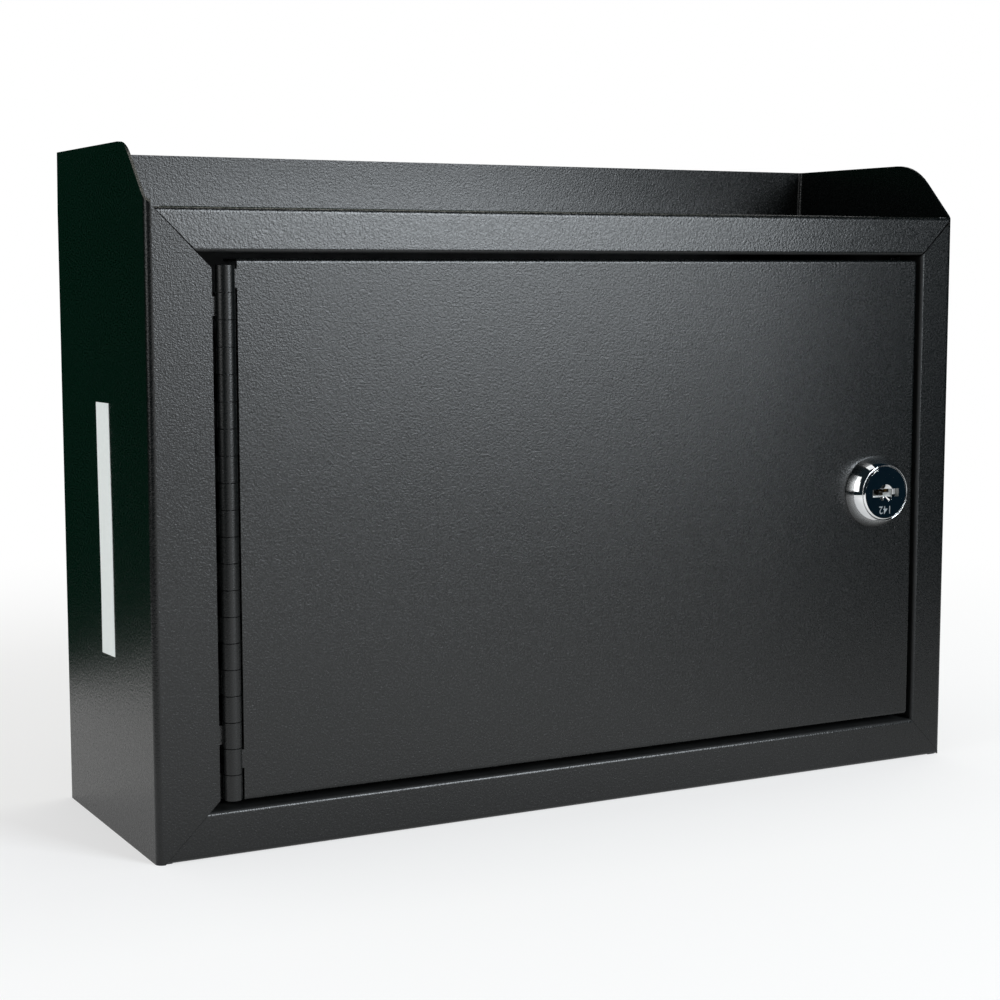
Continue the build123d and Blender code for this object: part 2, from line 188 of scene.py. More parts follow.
def makeFinish(name, look):
    # one noise pattern runs between two colours, one between two roughnesses, and others are bumps.
    # A pattern is its size in millimetres, its detail and how rough its detail is, and a bump is its
    # height in millimetres.
    material = bpy.data.materials.new(name)
    material.use_nodes = True
    shader, links = material.node_tree.nodes["Principled BSDF"], material.node_tree.links
    for socket, value in look["shader"].items():
        shader.inputs[socket].default_value = value
    place = addNode(material, "ShaderNodeTexCoord", {}).outputs["Object"]
    patterns = {pattern: addNode(material, "ShaderNodeTexNoise",
                                 {"Vector": place, "Scale": 1000 / sizeMm, "Detail": detail,
                                  "Roughness": roughness}).outputs["Fac"]
                for pattern, (sizeMm, detail, roughness) in look["patterns"].items()}
    first, second = [toLinear(colour) for colour in look["colours"]]
    colour = addNode(material, "ShaderNodeMix", {0: patterns[look["colourBy"]], 6: first, 7: second},
                     data_type="RGBA")
    gloss = addNode(material, "ShaderNodeMapRange",
                    {"Value": patterns[look["glossBy"]], "From Min": noiseReach[0], "From Max": noiseReach[1],
                     "To Min": look["roughness"][0], "To Max": look["roughness"][1]})
    links.new(colour.outputs[2], shader.inputs["Base Color"])
    links.new(gloss.outputs["Result"], shader.inputs["Roughness"])
    below = {}
    for pattern, height in look["bumps"].items():
        bump = addNode(material, "ShaderNodeBump",
                       {"Height": patterns[pattern], "Distance": mm(height), **below})
        below = {"Normal": bump.outputs["Normal"]}
    if below:
        links.new(below["Normal"], shader.inputs["Normal"])
    return material


# Polyester powder coat, sprayed and baked: satin black with a fine orange peel, and specks that
# differ in gloss, which break up the sheen into small grains. The sheet under it sags a little.
powderCoat = {"shader": {"IOR": 1.5}, "colours": ("#030505", "#060808"), "colourBy": "cloud",
              "roughness": (0.19, 0.33), "glossBy": "speck",
              "patterns": {"cloud": (38, 3, 0.5), "peel": (0.9, 1, 0.5), "grain": (0.45, 1, 0.5),
                           "sag": (55, 0, 0.5), "speck": (0.7, 2, 0.5)},
              "bumps": {"sag": 0.1, "peel": 0.08, "grain": 0.045}}

# The same coat where the spray hardly reaches, inside the box: thin, dry and without a sheen
thinInsideCoat = {"shader": {"IOR": 1.5}, "colours": ("#030505", "#060808"), "colourBy": "dust",
                  "roughness": (0.62, 0.75), "glossBy": "dust",
                  "patterns": {"dust": (6, 3, 0.5), "grit": (0.45, 2, 0.5)}, "bumps": {"grit": 0.03}}

# On the hinge the coat lies over smooth rolled steel, so it hardly has a peel
overHinge = {**powderCoat, "roughness": (0.26, 0.31), "bumps": {"sag": 0.1, "peel": 0.012, "grain": 0.045}}

# Bright nickel-chrome plate on a cast lock: a mirror with very faint haze
chromePlate = {"shader": {"Metallic": 1.0}, "colours": ("#e8eaeb", "#f1f2f2"), "colourBy": "haze",
               "roughness": (0.03, 0.06), "glossBy": "haze",
               "patterns": {"haze": (2.4, 3, 0.5), "ripple": (3.5, 1, 0.5)}, "bumps": {"ripple": 0.004}}

# The bottom of stamped digits, left dull by the punch
punchedChrome = {"shader": {"Metallic": 1.0}, "colours": ("#8f9497", "#a9adb0"), "colourBy": "grit",
                 "roughness": (0.55, 0.8), "glossBy": "grit",
                 "patterns": {"grit": (0.12, 2, 0.5)}, "bumps": {"grit": 0.01}}

# Clear zinc plate on steel: grey with a cold, patchy gloss
clearZinc = {"shader": {"Metallic": 1.0}, "colours": ("#a9adb0", "#c6c8c6"), "colourBy": "patch",
             "roughness": (0.24, 0.42), "glossBy": "patch",
             "patterns": {"patch": (5, 4, 0.6), "scuff": (0.6, 2, 0.5)}, "bumps": {"scuff": 0.006}}

# Die-cast zinc alloy, as cast: soft grey with a slight grain
zincAlloy = {"shader": {"Metallic": 1.0}, "colours": ("#8b8c8a", "#a8a9a6"), "colourBy": "flow",
             "roughness": (0.34, 0.5), "glossBy": "flow",
             "patterns": {"flow": (3, 3, 0.5), "grain": (0.4, 2, 0.5)}, "bumps": {"grain": 0.006}}

# Stamped brass wafers, slightly tarnished
waferBrass = {"shader": {"Metallic": 1.0}, "colours": ("#b48c4a", "#8c6a38"), "colourBy": "tarnish",
              "roughness": (0.25, 0.45), "glossBy": "tarnish",
              "patterns": {"tarnish": (1.5, 3, 0.5), "grain": (0.3, 1, 0.5)}, "bumps": {"grain": 0.003}}

# Drawn spring wire, a little uneven from drawing
springWire = {"shader": {"Metallic": 1.0}, "colours": ("#8f9295", "#b5b7b8"), "colourBy": "line",
              "roughness": (0.22, 0.4), "glossBy": "line", "patterns": {"line": (0.2, 2, 0.5)}, "bumps": {}}

# Cold-drawn steel pin, oiled and dark
drawnPin = {"shader": {"Metallic": 1.0}, "colours": ("#3c3e40", "#5a5c5e"), "colourBy": "patch",
            "roughness": (0.3, 0.48), "glossBy": "patch",
            "patterns": {"patch": (2.0, 3, 0.5), "scuff": (0.5, 2, 0.5)}, "bumps": {"scuff": 0.006}}

# Uncoated label paper, with its faint fibre cloud
mattPaper = {"shader": {"IOR": 1.45}, "colours": ("#e2e8e6", "#eff3f1"), "colourBy": "fibre",
             "roughness": (0.55, 0.75), "glossBy": "fibre",
             "patterns": {"fibre": (1.2, 4, 0.6)}, "bumps": {"fibre": 0.012}}

blackCoat = makeFinish("powderCoatSatinBlack", powderCoat)
thinCoat = makeFinish("powderCoatThinInside", thinInsideCoat)
hingeCoat = makeFinish("powderCoatOverHinge", overHinge)
chrome = makeFinish("lockChromePlate", chromePlate)
stampedChrome = makeFinish("stampedChrome", punchedChrome)
zincPlate = makeFinish("zincPlateClear", clearZinc)
castZinc = makeFinish("castZincAlloy", zincAlloy)
brass = makeFinish("stampedBrass", waferBrass)
springSteel = makeFinish("drawnSpringWire", springWire)
pinSteel = makeFinish("drawnPinSteel", drawnPin)
labelPaper = makeFinish("labelPaperMatt", mattPaper)
print("materials made")

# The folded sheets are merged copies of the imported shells, with their cut edges rounded over
# as the coat rounds them
sheetEdges = {"edgeRound": 0.16, "smoothAngle": 40, "mergeWithin": 0.002, "flatWithin": 0.4,
              "thinBelowTop": 0.5, "railLean": 0.75, "railLeanDepth": 12.0, "backLean": 1.0}
boxMiddle = [(low + high) / 2 for low, high in zip(wrapLow, wrapHigh)]


def mergedCopy(name, node):
    clearSelection()
    piece = bpy.data.objects.new(name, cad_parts[node].data.copy())
    piece.data.name = name
    bpy.context.scene.collection.objects.link(piece)
    piece.data.materials.clear()
    pick(piece)
    bpy.ops.mesh.customdata_custom_splitnormals_clear()
    bpy.ops.object.mode_set(mode="EDIT")
    bpy.ops.mesh.select_all(action="SELECT")
    bpy.ops.mesh.remove_doubles(threshold=mm(sheetEdges["mergeWithin"]))
    bpy.ops.mesh.dissolve_limited(angle_limit=math.radians(sheetEdges["flatWithin"]))
    bpy.ops.object.mode_set(mode="OBJECT")
    return piece


def foldedSheet(name, node, body, edgeRound=sheetEdges["edgeRound"], material=blackCoat, slot="powder_coat",
                reshape=None):
    piece = mergedCopy(name, node)
    if reshape:
        reshape(piece)
    softenEdges(piece, edgeRound)
    smoothBelow(piece, sheetEdges["smoothAngle"], flatFaces=True)
    return putOn(piece, body, material, slot, node)


def thinInside(piece):
    # faces that look into the box below the top plate have the thin coat
    piece.data.materials.append(thinCoat)
    top = topHigh[2] - sheetEdges["thinBelowTop"]
    for face in piece.data.polygons:
        centre = face.center * 1000
        if centre.z < top and face.normal.dot(Vector(boxMiddle) - centre) > 0:
            face.material_index = 1


def leanBack(piece):
    # the back stands a little forward above the top plate
    pick(piece)
    bpy.ops.object.mode_set(mode="EDIT")
    bpy.ops.mesh.select_all(action="SELECT")
    bpy.ops.mesh.bisect(plane_co=mm(0, 0, topHigh[2]), plane_no=(0, 0, 1))
    bpy.ops.object.mode_set(mode="OBJECT")
    for vertex in piece.data.vertices:
        rise = vertex.co.z * 1000 - topHigh[2]
        if rise > 0 and vertex.co.y > 0:
            vertex.co.y -= mm(sheetEdges["backLean"] * rise / (wrapHigh[2] - topHigh[2]))


def leanRail(piece):
    # the top rail was bent a little past square, so its face looks slightly upwards
    bottom, top = topLow[2], topHigh[2]
    for vertex in piece.data.vertices:
        y, z = vertex.co.y * 1000, vertex.co.z * 1000
        share = max(0.0, 1 - (y - frontY) / sheetEdges["railLeanDepth"])
        vertex.co.y += mm(sheetEdges["railLean"] * share * (z - bottom) / (top - bottom))


bodyWrap = foldedSheet("bodyWrap", "body_wrap", "carcass", reshape=leanBack)
topPan = foldedSheet("topPan", "top_pan", "carcass", reshape=leanRail)
bottomPan = foldedSheet("bottomPan", "bottom_pan", "carcass")
doorPanel = foldedSheet("doorPanel", "door_panel", "door")
for sheet in (bodyWrap, topPan, bottomPan, doorPanel):
    thinInside(sheet)
print("folded sheets done")

# Rolled piano hinge: each knuckle is a strip of its leaf, rolled once round the pin
hinge = {"knuckles": 20, "gap": 0.3, "radius": 2.5, "leaf": 0.95, "leafReach": 18.0, "plateStart": 5.0,
         "endTrim": 0.6, "rollDegrees": 300, "rollSteps": 30, "edgeRound": 0.14, "softAngle": 40,
         "smoothAngle": 35, "pinSides": 40, "pinDome": 0.5, "pinDomeAngle": 60}
hingeMiddle = (pinLow[2] + pinHigh[2]) / 2
knucklePitch = (pinHigh[2] - pinLow[2]) / hinge["knuckles"]


def rolledKnuckle(side):
    # drawn once for a leaf, at the middle of the hinge
    web = hinge["plateStart"] + hinge["leaf"]
    clearSelection()
    webMiddle = mm(hingeX + side * web / 2, hingeY + hinge["radius"], hingeMiddle)
    bpy.ops.mesh.primitive_plane_add(size=1, rotation=(math.radians(90), 0, 0), location=webMiddle)
    strip = named("knuckle")
    strip.dimensions = (mm(web), mm(knucklePitch - hinge["gap"]), 0)
    settle(strip)
    selectEdges(strip, lambda *ends: all(abs(end.x - hingeX) < tolerance["near"] for end in ends))
    bpy.ops.mesh.spin(steps=hinge["rollSteps"], angle=side * math.radians(hinge["rollDegrees"]),
                      center=mm(hingeX, hingeY, hingeMiddle), axis=(0, 0, 1))
    bpy.ops.object.mode_set(mode="OBJECT")
    closeUp(strip)
    # the face on the web tells which way the strip's normals came out
    webFace = max(strip.data.polygons, key=lambda face: face.center.y)
    inwards = -1 if webFace.normal.y > 0 else 1
    finishWith(strip, "SOLIDIFY", thickness=mm(hinge["leaf"]), offset=inwards, use_even_offset=True)
    softenEdges(strip, hinge["edgeRound"], angle=hinge["softAngle"])
    return strip


def hingeLeaf(name, node, body, side, numbers):
    pattern = rolledKnuckle(side)
    knuckles = []
    for number in numbers:
        knuckle = pattern.copy()
        knuckle.data = pattern.data.copy()
        bpy.context.scene.collection.objects.link(knuckle)
        rise = pinHigh[2] - (number - 0.5) * knucklePitch - hingeMiddle
        knuckle.data.transform(Matrix.Translation((0, 0, mm(rise))))
        knuckles.append(knuckle)
    bpy.data.objects.remove(pattern)
    width = hinge["leafReach"] - hinge["plateStart"]
    plateX = hingeX + side * (hinge["plateStart"] + width / 2)
    plateY = hingeY + hinge["radius"] - hinge["leaf"] / 2
    clearSelection()
    bpy.ops.mesh.primitive_cube_add(size=1, location=mm(plateX, plateY, hingeMiddle))
    plate = named(name)
    plate.dimensions = mm(width, hinge["leaf"], pinHigh[2] - pinLow[2] - 2 * hinge["endTrim"])
    settle(plate)
    softenEdges(plate, hinge["edgeRound"], angle=hinge["softAngle"])
    piece = joinInto(plate, *knuckles)
    smoothBelow(piece, hinge["smoothAngle"], flatFaces=True)
    return putOn(piece, body, hingeCoat, "hinge_paint", node)


hingeLeaf("frameHingeLeaf", "frame_hinge_leaf", "carcass", -1, range(2, hinge["knuckles"] + 1, 2))
hingeLeaf("doorHingeLeaf", "door_hinge_leaf", "door", 1, range(1, hinge["knuckles"] + 1, 2))

clearSelection()
bpy.ops.mesh.primitive_cylinder_add(vertices=hinge["pinSides"], radius=mm((pinHigh[0] - pinLow[0]) / 2),
                                    depth=mm(pinHigh[2] - pinLow[2]),
                                    location=mm(hingeX, hingeY, hingeMiddle))
hingePin = named("hingePin")
settle(hingePin)
softenEdges(hingePin, hinge["pinDome"], segments=4, angle=hinge["pinDomeAngle"])
smoothBelow(hingePin, hinge["smoothAngle"])
putOn(hingePin, "carcass", pinSteel, "pin_steel", "hinge_pin")
print("hinge done")

# Paper label on the left side, a hand-cut strip stuck on a little askew. Each row of its outline
# gives a height and how far back its rear and front edges lie from the front face.
label = {"columns": 6, "rows": 40, "thickness": 0.13, "sunk": 0.005, "smoothAngle": 30,
         "outline": [(67.1, 59.7, 44.2), (92.0, 59.5, 44.4), (115.1, 59.9, 44.5), (140.0, 60.6, 45.2),
                     (160.8, 60.9, 45.7)],
         "lowRise": 0.7, "topRise": 0.3, "endSharpness": 6}


def labelEdges(height):
    rows = label["outline"]
    for low, high in zip(rows, rows[1:]):
        if height <= high[0] or high is rows[-1]:
            share = (height - low[0]) / (high[0] - low[0])
            return [a + (b - a) * share for a, b in zip(low[1:], high[1:])]


def makeLabel():
    clearSelection()
    bpy.ops.mesh.primitive_grid_add(x_subdivisions=label["columns"], y_subdivisions=label["rows"], size=1,
                                    rotation=(math.radians(90), 0, math.radians(-90)))
    piece = named("sideLabel")
    settle(piece)
    start, end = label["outline"][0][0], label["outline"][-1][0]
    for vertex in piece.data.vertices:
        up, forward = vertex.co.z + 0.5, 0.5 - vertex.co.y
        height = start + (end - start) * up
        rear, near = labelEdges(height)
        # the lower end was cut askew, the upper one nearly square
        low, top = (1 - up) ** label["endSharpness"], up ** label["endSharpness"]
        height += (forward - 0.5) * (label["lowRise"] * low + label["topRise"] * top)
        vertex.co = mm(wrapLow[0] - label["sunk"], frontY + rear + (near - rear) * forward, height)
    finishWith(piece, "SOLIDIFY", thickness=mm(label["thickness"]), offset=1)
    smoothBelow(piece, label["smoothAngle"])
    putOn(piece, "carcass", labelPaper, "label_paper", "side_label")


makeLabel()
print("label done")


# Turned parts of the lock: a ring is drawn along the lock's axis, from one radius and depth to the
# next. A closed one comes back to its first ring and has a bore.
def turned(name, rings, segments, closed=False):
    clearSelection()
    radius, y = rings[0]
    bpy.ops.mesh.primitive_circle_add(vertices=segments, radius=mm(radius), location=mm(lockX, y, lockZ),
                                      rotation=(math.radians(90), 0, 0))
    piece = named(name)
    settle(piece)
    bpy.ops.object.mode_set(mode="EDIT")
    bpy.ops.mesh.select_mode(type="EDGE")
    bpy.ops.mesh.select_all(action="SELECT")
    if not closed:
        bpy.ops.mesh.edge_face_add()
        bpy.ops.mesh.select_all(action="SELECT")
    for nextRadius, nextY in rings[1:]:
        bpy.ops.mesh.extrude_region_move(TRANSFORM_OT_translate={"value": mm(0, nextY - y, 0)})
        share = nextRadius / radius
        bpy.ops.transform.resize(value=(share, 1, share), center_override=mm(lockX, nextY, lockZ))
        radius, y = nextRadius, nextY
    bpy.ops.object.mode_set(mode="OBJECT")
    closeUp(piece)
    return piece


def arcRings(centreRadius, centreY, radius, start, end, steps):
    # points of an arc in the half plane of radius and depth, angles in degrees from the outward radius
    return [(centreRadius + radius * math.cos(math.radians(start + (end - start) * i / steps)),
             centreY - radius * math.sin(math.radians(start + (end - start) * i / steps)))
            for i in range(steps + 1)]


lock = {"flange": 15.0, "flangeRound": 1.1, "flangeTurn": 17, "flangeSteps": 5, "domeBulge": 0.45,
        "domeSteps": 16, "rim": 11.75, "rimLap": 0.02, "beadSteps": 10, "recess": 11.45,
        "recessFloor": -58.2, "bore": 6.05, "collarSides": 128,
        "barrel": 9.5, "barrelFlats": 8.0, "barrelEnd": -39.0, "barrelSides": 72, "edge": 0.1,
        "threadPitch": 1.0, "threadDepth": 0.45, "threadStart": 1.4, "threadStop": 0.4, "crestStart": 0.42,
        "crestEnd": 0.55, "rootEnd": 0.95, "endTaper": 0.3, "grooveLong": 12.8, "grooveWide": 5.6,
        "grooveGap": 0.3, "lugInner": 7.1, "lugHeight": 0.8, "lugDegrees": 30, "lugSoftAngle": 40,
        "collarSmooth": 32, "barrelSmooth": 25}


def domeRings(start, end, bulge, steps):
    # an arc through two points of radius and depth, as high as its bulge in the middle
    chord = Vector(end) - Vector(start)
    radius = (chord.length / 2) ** 2 / (2 * bulge) + bulge / 2
    outward = Vector((-chord.y, chord.x)).normalized()
    centre = (Vector(start) + Vector(end)) / 2 - outward * (radius - bulge)
    half = math.asin(chord.length / 2 / radius)
    return [tuple(centre + radius * (outward * math.cos(turn) + chord.normalized() * math.sin(turn)))
            for turn in (half * (2 * i / steps - 1) for i in range(steps + 1))]


def cutWaferGrooves(piece):
    # without a key the wafers stand out into two crossed grooves, one for each end of the turn
    long, wide = lock["grooveLong"], lock["grooveWide"]
    middle, depth = (waferLow[1] + waferHigh[1]) / 2, waferHigh[1] - waferLow[1] + 2 * lock["grooveGap"]
    for width, height in ((long, wide), (wide, long)):
        clearSelection()
        bpy.ops.mesh.primitive_cube_add(size=1, location=mm(lockX, middle, lockZ))
        groove = named("grooveCutter")
        groove.dimensions = mm(width, depth, height)
        settle(groove)
        cutAway(piece, groove)


def makeCollar():
    edge, soft = lock["edge"], lock["flangeRound"]
    # the flange turns over in a small round, then runs to the rim as an almost straight cone
    rings = [(lock["bore"], frontY), (lock["flange"] - edge, frontY), (lock["flange"], frontY - edge)]
    rings += arcRings(lock["flange"] - soft, frontY - 2 * edge, soft, 0, lock["flangeTurn"],
                      lock["flangeSteps"])
    bead = (lock["rim"] - lock["recess"]) / 2
    coneEnd = (lock["rim"] + lock["rimLap"], collarFront + bead)
    rings += domeRings(rings[-1], coneEnd, lock["domeBulge"], lock["domeSteps"])[1:]
    rings += arcRings(lock["recess"] + bead, collarFront + bead, bead, 0, 180, lock["beadSteps"])
    rings += [(lock["recess"], lock["recessFloor"]), (lock["bore"], lock["recessFloor"]),
              (lock["bore"], frontY)]
    piece = turned("lockCollar", rings, lock["collarSides"], closed=True)
    piece.data.materials.append(chrome)
    cutWaferGrooves(piece)
    smoothBelow(piece, lock["collarSmooth"])
    putOn(piece, "door", chrome, "lock_chrome", "lock_housing")


def sawOff(piece, place, outwards):
    # takes off what is beyond a plane, and closes the cut
    pick(piece)
    bpy.ops.object.mode_set(mode="EDIT")
    bpy.ops.mesh.select_all(action="SELECT")
    bpy.ops.mesh.bisect(plane_co=place, plane_no=outwards, use_fill=True, clear_outer=True)
    bpy.ops.object.mode_set(mode="OBJECT")


def makeStopLug():
    # a short piece of a ring above the plug, sunk a little into the barrel's end
    inner, outer, end = lock["lugInner"], lock["barrel"] - lock["threadDepth"], lock["barrelEnd"]
    start, stop = end - lock["lugHeight"] / 2, end + lock["lugHeight"]
    rings = [(inner, start), (outer, start), (outer, stop), (inner, stop), (inner, start)]
    lug = turned("stopLug", rings, lock["barrelSides"], closed=True)
    half = math.radians(lock["lugDegrees"] / 2)
    for sign in (-1, 1):
        sawOff(lug, mm(lockX, 0, lockZ), (sign * math.cos(half), 0, -math.sin(half)))
    softenEdges(lug, lock["edge"], angle=lock["lugSoftAngle"])
    return lug


def makeBarrel():
    # threaded as far as the nut goes, milled flat above and below, with the stop lug at its end
    pitch, crest, root = lock["threadPitch"], lock["barrel"], lock["barrel"] - lock["threadDepth"]
    y = frontY + lock["threadStart"]
    rings = [(lock["bore"], frontY), (root, frontY), (root, y)]
    while y + pitch < lock["barrelEnd"] - lock["threadStop"]:
        rings += [(crest, y + lock["crestStart"] * pitch), (crest, y + lock["crestEnd"] * pitch),
                  (root, y + lock["rootEnd"] * pitch)]
        y += pitch
    rings += [(root - lock["endTaper"], lock["barrelEnd"]), (lock["bore"], lock["barrelEnd"]),
              (lock["bore"], frontY)]
    piece = turned("lockBarrel", rings, lock["barrelSides"], closed=True)
    for sign in (-1, 1):
        sawOff(piece, mm(lockX, 0, lockZ + sign * lock["barrelFlats"]), (0, 0, sign))
    piece.data.materials.append(castZinc)
    cutWaferGrooves(piece)
    joinInto(piece, makeStopLug())
    smoothBelow(piece, lock["barrelSmooth"])
    putOn(piece, "door", castZinc, "lock_chrome")


makeCollar()
makeBarrel()
print("collar and barrel done")

# Cap of the plug: a chromed disc with the key slot, the centring dimple and a stamped number
cap = {"chamfer": 0.65, "slotLong": 13.5, "slotHigh": 3.3, "dimple": 3.6, "dimpleFloor": 1.8,
       "dimpleDeep": 1.5, "edge": 0.12, "sides": 128, "dimpleSides": 64, "softAngle": 30,
       "smoothAngle": 28, "number": "142", "digitHeight": 3.2, "digitShare": 0.7, "digitDrop": 6.9,
       "digitBold": 0.012, "digitDeep": 0.2, "digitSteps": 6}


def digitStamp():
    clearSelection()
    bpy.ops.object.text_add(location=(0, 0, 0))
    stamp = bpy.context.active_object
    stamp.data.body = cap["number"]
    stamp.data.align_x = "CENTER"
    stamp.data.align_y = "CENTER"
    stamp.data.size = mm(cap["digitHeight"] / cap["digitShare"])  # a digit takes up this share of its line
    stamp.data.offset = mm(cap["digitBold"] * cap["digitHeight"])
    stamp.data.extrude = mm(cap["digitDeep"])
    stamp.data.resolution_u = cap["digitSteps"]
    bpy.ops.object.convert(target="MESH")
    stamp = named("digitStamp")
    # upright on the face, then turned upside down as on the real plug
    stamp.rotation_euler = (math.radians(90), math.radians(180), 0)
    stamp.location = mm(lockX, capLow[1], lockZ - cap["digitDrop"])
    settle(stamp)
    # the digits' faces and sides come apart, so they are joined up before the cut
    closeUp(stamp)
    stamp.data.materials.clear()
    stamp.data.materials.append(stampedChrome)
    return stamp


def makeCap():
    radius = (capHigh[0] - capLow[0]) / 2
    face, back = capLow[1], capHigh[1]
    rings = [(radius, back), (radius, face + cap["chamfer"]), (radius - cap["chamfer"], face)]
    piece = turned("plugCap", rings, cap["sides"])
    piece.data.materials.append(chrome)
    clearSelection()
    bpy.ops.mesh.primitive_cube_add(size=1, location=mm(lockX, (face + back) / 2, lockZ))
    slot = named("slotCutter")
    slot.dimensions = mm(cap["slotLong"], 2 * (back - face), cap["slotHigh"])
    settle(slot)
    cutAway(piece, slot)
    bpy.ops.mesh.primitive_cone_add(vertices=cap["dimpleSides"], radius1=mm(cap["dimple"]),
                                    radius2=mm(cap["dimpleFloor"]), depth=mm(cap["dimpleDeep"]),
                                    location=mm(lockX, face + cap["dimpleDeep"] / 2, lockZ),
                                    rotation=(math.radians(-90), 0, 0))
    dimple = named("dimpleCutter")
    settle(dimple)
    cutAway(piece, dimple)
    softenEdges(piece, cap["edge"], angle=cap["softAngle"])
    cutAway(piece, digitStamp(), crossesItself=True)
    smoothBelow(piece, cap["smoothAngle"], flatFaces=True)
    putOn(piece, "key_plug", chrome, "lock_chrome", "plug_cap")


makeCap()
print("plug cap done")

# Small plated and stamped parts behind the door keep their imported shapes, with broken edges
smallParts = [("spurWasher", "lock_spur_washer", "door", zincPlate, "zinc_plate", 0.06),
              ("lockNut", "lock_nut", "door", zincPlate, "zinc_plate", 0.25),
              ("camStopWasher", "cam_stop_washer", "key_plug", zincPlate, "zinc_plate", 0.08),
              ("lockCam", "lock_cam", "key_plug", zincPlate, "zinc_plate", 0.15),
              ("camToothWasher", "cam_tooth_washer", "key_plug", zincPlate, "zinc_plate", 0.05),
              ("camNut", "cam_nut", "key_plug", zincPlate, "zinc_plate", 0.15)]
for name, node, body, material, slot, edgeRound in smallParts:
    foldedSheet(name, node, body, edgeRound, material, slot)
for node, material in (("lock_plug", castZinc), ("lock_wafers", brass), ("wafer_springs", springSteel)):
    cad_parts[node].data.materials.clear()
    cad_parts[node].data.materials.append(material)
print("small parts done")


# The studio: a pale floor, a tall softbox at the front right, a fill at the left and one overhead.
# Directions are degrees to the right of the view from the front, distances are metres from the box,
# and the glow is the radiance that a mirror would show.
studio = {"ambient": 0.66, "white": (1, 1, 1, 1),
          "floor": {"size": 24, "plain": "#e6e6e6", "dim": "#8c8c8c", "whiteFrom": 0.25, "whiteTo": 0.75,
                    "nearShare": 0.55, "farShare": 1.0, "mirroredShare": 0.3,
                    # painted shade: in reflections only, the floor's paint turns towards the dim grey to the
                    # right, to the left and close to the box
                    "paintedShadeInMirror": {"toRight": ("X", (0.06, 0.24), (0, 1)),
                               "toLeft": ("X", (-0.32, -0.18), (0.35, 0)),
                               "towardsBox": ("Y", (-0.17, -0.08), (0, 0.3))}},
          "softboxes": {"keyLow": {"direction": 25.5, "distance": 1.85, "width": 0.7, "low": 0.12,
                                   "high": 0.60, "glow": 6.3, "tint": (0.93, 1.0, 1.06)},
                        "keyHigh": {"direction": 25.5, "distance": 1.85, "width": 0.7, "low": 0.60,
                                    "high": 1.70, "glow": 14.0, "tint": (0.93, 1.0, 1.06)},
                        "left": {"direction": -84, "distance": 1.4, "width": 0.65, "low": 0.17,
                                 "high": 1.7, "glow": 1.35, "tint": (0.98, 1.0, 1.0)}},
          "overhead": {"place": (0.5, 0.3, 1.7), "width": 0.9, "depth": 0.5, "glow": 3.5,
                       "tint": (1.0, 1.0, 0.9)},
          "cards": {"behindLeft": {"from": (-4.2, 0.276), "to": (0.3, 0.276), "high": 2.0,
                                   "colour": "#083323"},
                    "frontRight": {"from": (0.306, -0.379), "to": (3.4, 2.13), "high": 2.4,
                                   "colour": "#08161f"},
                    "frontLeft": {"from": (-2.45, -0.9), "to": (-0.7, -2.5), "high": 2.4,
                                  "colour": "#161e22"},
                    "lowLeft": {"from": (-0.55, 0.12), "to": (-0.55, -0.75), "high": 0.13,
                                "colour": "#101a1e"}},
          "ceiling": {"middle": (0, 0, 2.4), "size": 7.0, "colour": "#161e22"},
          "whiteCards": {"overFront": (0.3, -1.55, 2.39), "overBox": (0.0, -0.2, 2.39)},
          "whiteCardSize": 0.7, "whiteCardColour": "#ffffff"}


def makeFloorMaterial():
    look = studio["floor"]
    material = bpy.data.materials.new("paleFloor")
    material.use_nodes = True
    nodes = material.node_tree.nodes
    nodes.remove(nodes["Principled BSDF"])
    place = addNode(material, "ShaderNodeTexCoord", {}).outputs["Object"]
    path = addNode(material, "ShaderNodeLightPath", {}).outputs
    # seen by the camera it is nearly white, wholly so away from the box, and the rest is plain paint
    # that takes the box's shadow
    away = addNode(material, "ShaderNodeVectorMath", {0: place}, operation="LENGTH").outputs["Value"]
    white = addNode(material, "ShaderNodeMapRange",
                    {"Value": away, "From Min": look["whiteFrom"], "From Max": look["whiteTo"],
                     "To Min": look["nearShare"], "To Max": look["farShare"]},
                    interpolation_type="SMOOTHSTEP").outputs["Result"]
    mirrored = addNode(material, "ShaderNodeMath", {0: path["Is Glossy Ray"], 1: path["Is Transmission Ray"]},
                       operation="MAXIMUM").outputs[0]
    mirroredShare = addNode(material, "ShaderNodeMath", {0: mirrored, 1: look["mirroredShare"]},
                            operation="MULTIPLY").outputs[0]
    seenShare = addNode(material, "ShaderNodeMath", {0: path["Is Camera Ray"], 1: white},
                        operation="MULTIPLY").outputs[0]
    share = addNode(material, "ShaderNodeMath", {0: mirroredShare, 1: seenShare}, operation="ADD").outputs[0]
    # painted shade: in a mirror image the floor's paint is darkened to the right and left and close to the
    # box
    along = addNode(material, "ShaderNodeSeparateXYZ", {0: place}).outputs
    paintedShade = None
    for axis, (start, end), (low, high) in look["paintedShadeInMirror"].values():
        ramp = addNode(material, "ShaderNodeMapRange",
                       {"Value": along[axis], "From Min": start, "From Max": end, "To Min": low,
                        "To Max": high}).outputs["Result"]
        paintedShade = ramp if paintedShade is None else addNode(
            material, "ShaderNodeMath", {0: paintedShade, 1: ramp}, operation="MAXIMUM").outputs[0]
    paintedShade = addNode(material, "ShaderNodeMath", {0: paintedShade, 1: path["Is Glossy Ray"]},
                        operation="MULTIPLY").outputs[0]
    # the painted shade turns the plain paint towards the dim grey, for mirror rays only
    paint = addNode(material, "ShaderNodeMix",
                    {0: paintedShade, 6: toLinear(look["plain"]), 7: toLinear(look["dim"])},
                    data_type="RGBA").outputs[2]
    plain = addNode(material, "ShaderNodeBsdfDiffuse", {"Color": paint}).outputs[0]
    glow = addNode(material, "ShaderNodeEmission", {"Color": studio["white"], "Strength": 1.0}).outputs[0]
    mixed = addNode(material, "ShaderNodeMixShader", {0: share, 1: plain, 2: glow}).outputs[0]
    material.node_tree.links.new(mixed, nodes["Material Output"].inputs["Surface"])
    return material


